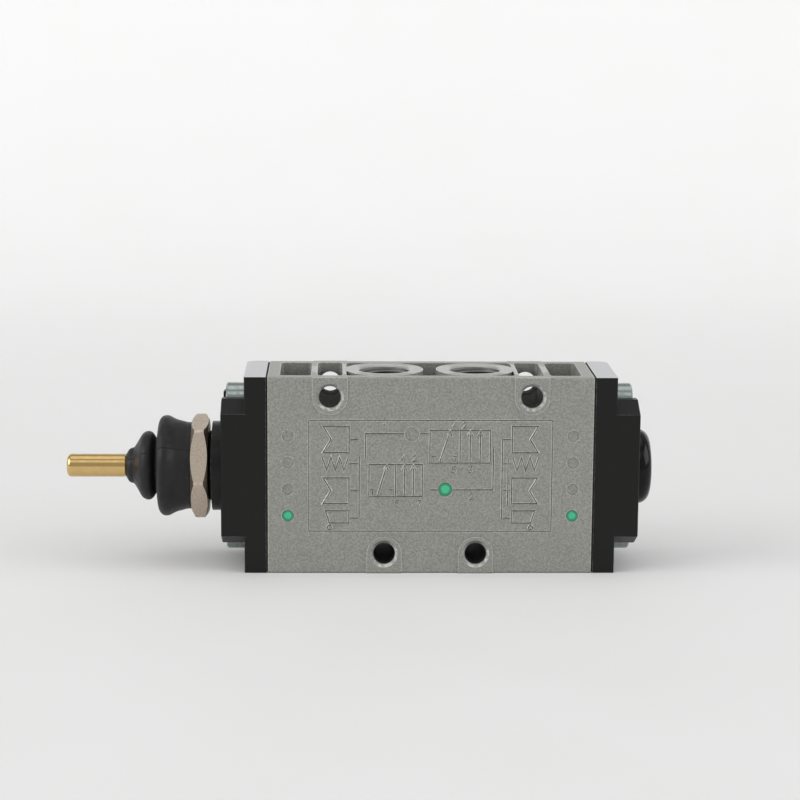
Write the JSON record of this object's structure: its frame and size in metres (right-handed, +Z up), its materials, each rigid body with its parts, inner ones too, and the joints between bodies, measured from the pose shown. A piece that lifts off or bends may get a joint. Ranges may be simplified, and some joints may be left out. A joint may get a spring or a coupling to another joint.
{
  "type": "hand lever air valve",
  "caption": "Spool air valve with a short tilting lever in a rubber boot, ported top and bottom for compressed air, for panel or surface mounting.",
  "frame": {"origin": "centre of the mouth of port 1, the middle port underneath, level with the face the valve stands on", "axes": "+X along the spool from the lever end to the plug end, +Y from the marked front to the back, +Z up towards ports 2 and 4"},
  "size_m": [0.1514, 0.027, 0.051],
  "materials": {
    "cast_aluminium": "fine blasted die casting, lightly coated",
    "black_coated_casting": "satin black coating",
    "gasket_rubber": "matte",
    "zinc_plated_steel": "bright zinc plated",
    "nickel_plated_steel": "satin nickel",
    "boot_rubber": "matte moulded rubber",
    "hardened_steel": "ground",
    "turned_steel": "machined",
    "lever_brass": "turned, satin",
    "anodised_spool": "smooth anodised",
    "guide_plastic": "moulded",
    "cage_plastic": "moulded",
    "plug_plastic": "glossy moulded"
  },
  "bodies": {
    "valve_body": {"body_casting": "cast_aluminium", "lever_end_gasket": "gasket_rubber", "plug_end_gasket": "gasket_rubber", "lever_end_cap": "black_coated_casting", "plug_end_cap": "black_coated_casting", "lever_cap_screws": "zinc_plated_steel", "plug_cap_screws": "zinc_plated_steel", "panel_nut": "nickel_plated_steel", "lever_boot": "boot_rubber", "pivot_pin": "hardened_steel", "pivot_carrier": "turned_steel", "seal_cage_1": "cage_plastic", "seal_cage_2": "cage_plastic", "seal_cage_3": "cage_plastic", "seal_cage_4": "cage_plastic", "seal_cage_5": "cage_plastic", "spool_seal_1": "gasket_rubber", "spool_seal_2": "gasket_rubber", "spool_seal_3": "gasket_rubber", "spool_seal_4": "gasket_rubber", "spool_seal_5": "gasket_rubber", "spool_seal_6": "gasket_rubber", "lever_guide": "guide_plastic", "detent_guide": "guide_plastic", "guide_retaining_ring": "hardened_steel", "detent_housing": "guide_plastic", "detent_balls": "hardened_steel", "detent_spring": "hardened_steel", "end_plug": "plug_plastic"},
    "lever": {"lever_rod": "lever_brass", "crank_pin": "hardened_steel"},
    "spool": {"spool": "anodised_spool", "spool_yoke": "turned_steel", "yoke_screw": "zinc_plated_steel"}
  },
  "joints": [
    {"name": "lever_tilt", "type": "hinge", "parent": "valve_body", "child": "lever", "pos_m": [-0.04643, 0, 0.0255], "axis": [0, 1, 0], "range_deg": [-15, 15], "deforming": ["lever_boot"]},
    {"name": "spool_slide", "type": "slide", "parent": "valve_body", "child": "spool", "axis": [1, 0, 0], "range_m": [-0.00207, 0.00207]}
  ],
  "couplings": [
    {"joint": "lever_tilt", "follows": "spool_slide", "rad_per_m": 126.44}
  ]
}
